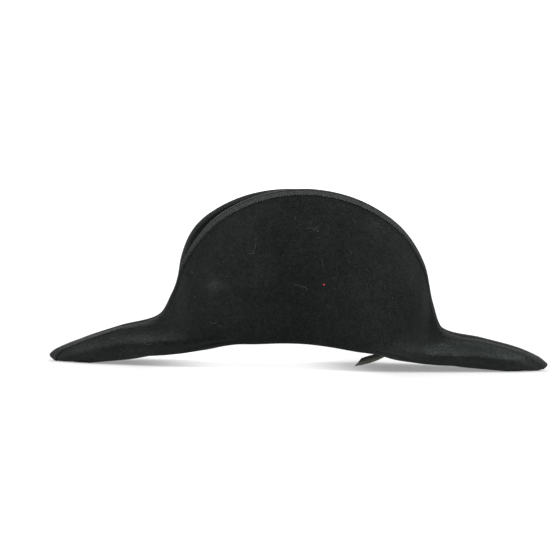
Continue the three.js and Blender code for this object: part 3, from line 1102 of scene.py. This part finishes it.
STRANDS = (
    Strand(((-7.3, 124), (-2.9, 125), (0.6, 124.2), (4.2, 122.5))),
    Strand(((0.6, 124.2), (3.6, 126.2))),
    Strand(((3, 122), (3.9, 121.8)), 0.7),
    Strand(((-57.6, 101.2), (-52.8, 101.5), (-52, 104.6), (-50.8, 110.7))),
    Strand(((6.1, 99), (7.5, 95.5), (8.5, 91.1))),
    Strand(((-17.5, 75.2), (-14.8, 75), (-12.2, 74.1), (-6.4, 72.9), (-5.9, 69.8)), 0.3),
    Strand(((31.4, 106.1), (33.3, 103.5)), 0.3),
    Strand(((-76.3, 105.7), (-75.6, 105.9)), 0.4),
    Strand(((-72.6, 104.5), (-71.9, 104.3)), 0.4),
    Strand(((8.1, 75.8), (9.6, 75.9)), 0.9, True),
    Strand(((-110.8, 61.4), (-110.3, 62)), 0.5),
    Strand(((-102.1, 62), (-101.4, 61.8)), 0.5),
    Strand(((57.5, 70.4), (58.1, 70.6)), 0.5),
    Strand(((67.7, 51.3), (68.3, 51)), 0.5),
    Strand(((104.5, 31), (105.1, 31.2)), 0.5),
    Strand(((153.5, 25), (154.1, 24.8)), 0.7),
    Strand(((149.9, 27.2), (150.4, 26.9)), 0.45),
    Strand(((-154.9, 13.4), (-154.2, 13.6)), 0.6),
    Strand(((-165.6, 21), (-164.8, 20.7)), 0.45),
    Strand(((-50.9, 113.8), (-50.4, 113.5)), 0.35),
    Strand(((-26.9, 100.4), (-26.3, 100.2)), 0.4),
    Strand(((-172.6, 22.6), (-169.1, 22.7)), 0.4),
    Strand(((-144.7, 20.6), (-142, 18.9), (-138.5, 19.8)), 0.3),
    Strand(((106.7, 17), (109.4, 14.9), (111.1, 16.2)), 0.3),
    Strand(((128.9, 14), (131.5, 15.8), (135.2, 12.3)), 0.3),
    Strand(((-89.3, 40.9), (-86, 39.4), (-83.5, 40.3)), 0.24),
    Strand(((-82, 38.2), (-78.7, 36.8)), 0.24),
)


@dataclass
class Lint:
    """Hairs and specks that cling to the felt: those seen on the front, and more at random all over.

    A line to the felt starts away metres outside it, and reach and lowest are how far places lie from the
    middle and the floor.
    """

    felt: bpy.types.Object
    strands: tuple[Strand, ...] = STRANDS
    scattered: int = 420
    lift: float = 0.12
    away: float = 0.3
    lowest: float = 0.002
    reach: Triple = (212, 88, 150)
    hair_share: float = 0.3
    hair_steps: tuple[int, int] = (3, 6)
    hair_step: Pair = (0.5, 1.1)
    hair_bend: float = 0.35
    hair_thick: Pair = (0.14, 0.22)
    speck_step: float = 0.5
    speck_thick: Pair = (0.2, 0.4)
    pale: Triple = (0.034, 0.036, 0.0335)
    red: Triple = (0.6, 0.03, 0.06)
    seed: int = 11

    def __post_init__(self) -> None:
        """Makes the felt's surface ready to be touched."""
        bpy.context.view_layer.update()
        self._skin = BVHTree.FromObject(self.felt, bpy.context.evaluated_depsgraph_get())
        self._chance = random.Random(self.seed)

    def touch(self, start: Triple, ahead: Triple) -> Vector | None:
        """Where a straight line first meets the felt, if it does."""
        return self._skin.ray_cast(Vector(start), Vector(ahead))[0]

    def settle(self, points: Iterable[Vector]) -> list[Vector]:
        """Brings points down to just above the felt nearest them."""
        found = (self._skin.find_nearest(point)[:2] for point in points)
        return [near + normal * self.lift * MM for near, normal in found]

    def seen(self, strand: Strand) -> list[Vector]:
        """One of the strands on the front flap, in points about a millimetre apart."""
        corners = [self.touch((x * MM, -self.away, z * MM), (0, 1, 0)) for x, z in strand.through]
        path = [corners[0]]
        for a, b in zip(corners, corners[1:]):
            steps = max(1, round((b - a).length / MM))
            path.extend(a.lerp(b, (i + 1) / steps) for i in range(steps))
        return self.settle(path)

    def random_start(self) -> Vector | None:
        """A place on the felt, met from the front, from behind or from above."""
        wide, deep, high = (r * MM for r in self.reach)
        spans = ((-wide, wide), (self.lowest, high), (-deep, deep))
        x, z, y = (self._chance.uniform(*span) for span in spans)
        way = self._chance.choice((-1, 1, 0))
        if way == 0:
            return self.touch((x, y, self.away), (0, 0, -1))
        return self.touch((x, self.away * way, z), (0, -way, 0))

    def turned(self, ahead: Vector, spread: float) -> Vector:
        """The way ahead, turned aside at random."""
        return (ahead + Vector([self._chance.gauss(0, spread) for _ in range(3)])).normalized()

    def stray(self) -> tuple[list[Vector], float] | None:
        """A hair or a speck at random, as its points and its thickness in mm."""
        start = self.random_start()
        if start is None:
            return None
        heading = self.turned(Vector(), 1)
        hair = self._chance.random() < self.hair_share
        steps, step = 1, self.speck_step
        if hair:
            steps, step = self._chance.randint(*self.hair_steps), self._chance.uniform(*self.hair_step)
        path = [start]
        for _ in range(steps):
            heading = self.turned(heading, self.hair_bend)
            path.append(path[-1] + heading * step * MM)
        return self.settle(path), self._chance.uniform(*(self.hair_thick if hair else self.speck_thick))

    def spun(self, name: str, paths: list[tuple[list[Vector], float]], colour: Triple) -> bpy.types.Object:
        """One mesh of thin closed tubes along the paths.

        Args:
            name: the piece's name.
            paths: each strand's points in metres and its thickness in mm.
            colour: the strands' colour.

        Returns:
            The piece.
        """
        curve = bpy.data.curves.new(name + "_paths", "CURVE")
        curve.dimensions = "3D"
        curve.bevel_depth = MM / 2
        curve.bevel_resolution = 0
        curve.use_fill_caps = True
        for points, thick in paths:
            spline = curve.splines.new("POLY")
            spline.points.add(len(points) - 1)
            for knot, point in zip(spline.points, points, strict=True):
                knot.co, knot.radius = (*point, 1), thick
        paths_object = bpy.data.objects.new(name + "_paths", curve)
        mesh = bpy.data.meshes.new_from_object(paths_object)
        bpy.data.objects.remove(paths_object)
        bm = bmesh.new()
        bm.from_mesh(mesh)
        bpy.data.meshes.remove(mesh)
        bmesh.ops.remove_doubles(bm, verts=bm.verts, dist=1e-6)
        bmesh.ops.recalc_face_normals(bm, faces=bm.faces)
        made = finished(name, bm)
        dress(made, LintFinish(name, colour).material())
        return made

    def build(self) -> list[bpy.types.Object]:
        """Lays the strands and gives them their colours."""
        pale = [(self.seen(s), s.thick) for s in self.strands if not s.red]
        red = [(self.seen(s), s.thick) for s in self.strands if s.red]
        strays = (self.stray() for _ in range(self.scattered))
        pale.extend(s for s in strays if s is not None)
        return [self.spun("pale_lint", pale, self.pale), self.spun("red_lint", red, self.red)]


@dataclass
class Studio:
    """A white floor, an even white surround, one broad soft light and the camera.

    The floor glows a little, more under the middle of the hat and far off. Places and sizes are metres.
    """

    floor_size: float = 60
    floor_colour: Triple = (0.34, 0.34, 0.34)
    floor_roughness: float = 0.9
    floor_gloss: float = 0.1
    middle_x: float = -0.038
    middle_glow: Ramp = (0.03, 0.115, (0.64, 0))
    middle_depth: Ramp = (0.09, 0.28, (1, 0))
    far_glow: Ramp = (0.35, 0.9, (0.3, 0.55))
    surround: float = 1.9
    lamp_size: float = 1.6
    lamp_power: float = 22
    lamp_place: Triple = (0.5, -1.2, 1.9)
    lamp_aim: Triple = (0, 0, 0.05)
    camera_place: Triple = (-0.3136, -2.9836, 0.150)
    camera_aim: Triple = (-0.0201, 0.0021, 0.0767)
    camera_roll: float = 1.45
    lens: float = 214.3
    film: float = 36
    sight: float = 100

    def floor(self) -> None:
        """Lays the floor."""
        bm = bmesh.new()
        bmesh.ops.create_grid(bm, x_segments=1, y_segments=1, size=self.floor_size / 2)
        floor = meshed("floor", bm)
        g = Graph("floor_white")
        where = g.node("TexCoord").outputs["Object"]
        x, y, _ = g.parts(where)
        aside = g.maths("ABSOLUTE", g.maths("SUBTRACT", x, self.middle_x))
        ahead = g.maths("ABSOLUTE", y)
        middle = g.product(g.spread(aside, *self.middle_glow), g.spread(ahead, *self.middle_depth))
        away = g.node("VectorMath", {0: where}, operation="LENGTH").outputs["Value"]
        glow = g.total(middle, g.spread(away, *self.far_glow))
        floor.data.materials.append(g.surface({
            "Base Color": rgba(self.floor_colour), "Roughness": self.floor_roughness,
            "Specular IOR Level": self.floor_gloss, "Emission Color": rgba(WHITE), "Emission Strength": glow,
        }))  # fmt: skip

    def light(self) -> None:
        """Lights the hat from all round, with a broad light above it in front."""
        world = bpy.data.worlds.new("surround")
        world.use_nodes = True
        back = world.node_tree.nodes["Background"]
        back.inputs[0].default_value = rgba(WHITE)
        back.inputs[1].default_value = self.surround
        bpy.context.scene.world = world
        lamp = bpy.data.lights.new("soft_box", "AREA")
        lamp.shape = "SQUARE"
        lamp.size = self.lamp_size
        lamp.energy = self.lamp_power
        linked("soft_box", lamp).matrix_world = self.facing(self.lamp_place, self.lamp_aim)

    def facing(self, place: Triple, aim: Triple, roll: float = 0) -> Matrix:
        """Where something at place lies and looks, aimed at aim and turned by roll degrees about its view."""
        ahead = (Vector(aim) - Vector(place)).normalized()
        right = ahead.cross(Vector((0, 0, 1))).normalized()
        up = right.cross(ahead)
        turned = Matrix.Rotation(np.radians(-roll), 3, ahead)
        pose = Matrix((turned @ right, turned @ up, turned @ -ahead)).transposed().to_4x4()
        pose.translation = place
        return pose

    def camera(self) -> None:
        """Sets up the camera."""
        data = bpy.data.cameras.new("camera")
        data.lens = self.lens
        data.sensor_width = self.film
        data.clip_end = self.sight
        camera = linked("camera", data)
        camera.matrix_world = self.facing(self.camera_place, self.camera_aim, self.camera_roll)
        bpy.context.scene.camera = camera

    def build(self) -> None:
        """Sets up floor, light and camera."""
        self.floor()
        self.light()
        self.camera()
        bpy.context.scene.view_settings.view_transform = "Standard"


def main() -> None:
    """Builds the hat's pieces in order, then the studio."""
    logging.basicConfig(level=logging.INFO, format="%(name)s: %(message)s")
    sheet = BlockedSheet()
    felt = FeltBody(sheet).build()
    pieces = [felt, *(maker.build() for maker in (EdgeBinding(sheet), HeadRibbon(sheet), RibbonTail()))]
    for piece in [*pieces, *Lint(felt).build()]:
        log.info("%s: %d faces", piece.name, len(piece.data.polygons))
    Studio().build()


if __name__ == "__main__":
    main()
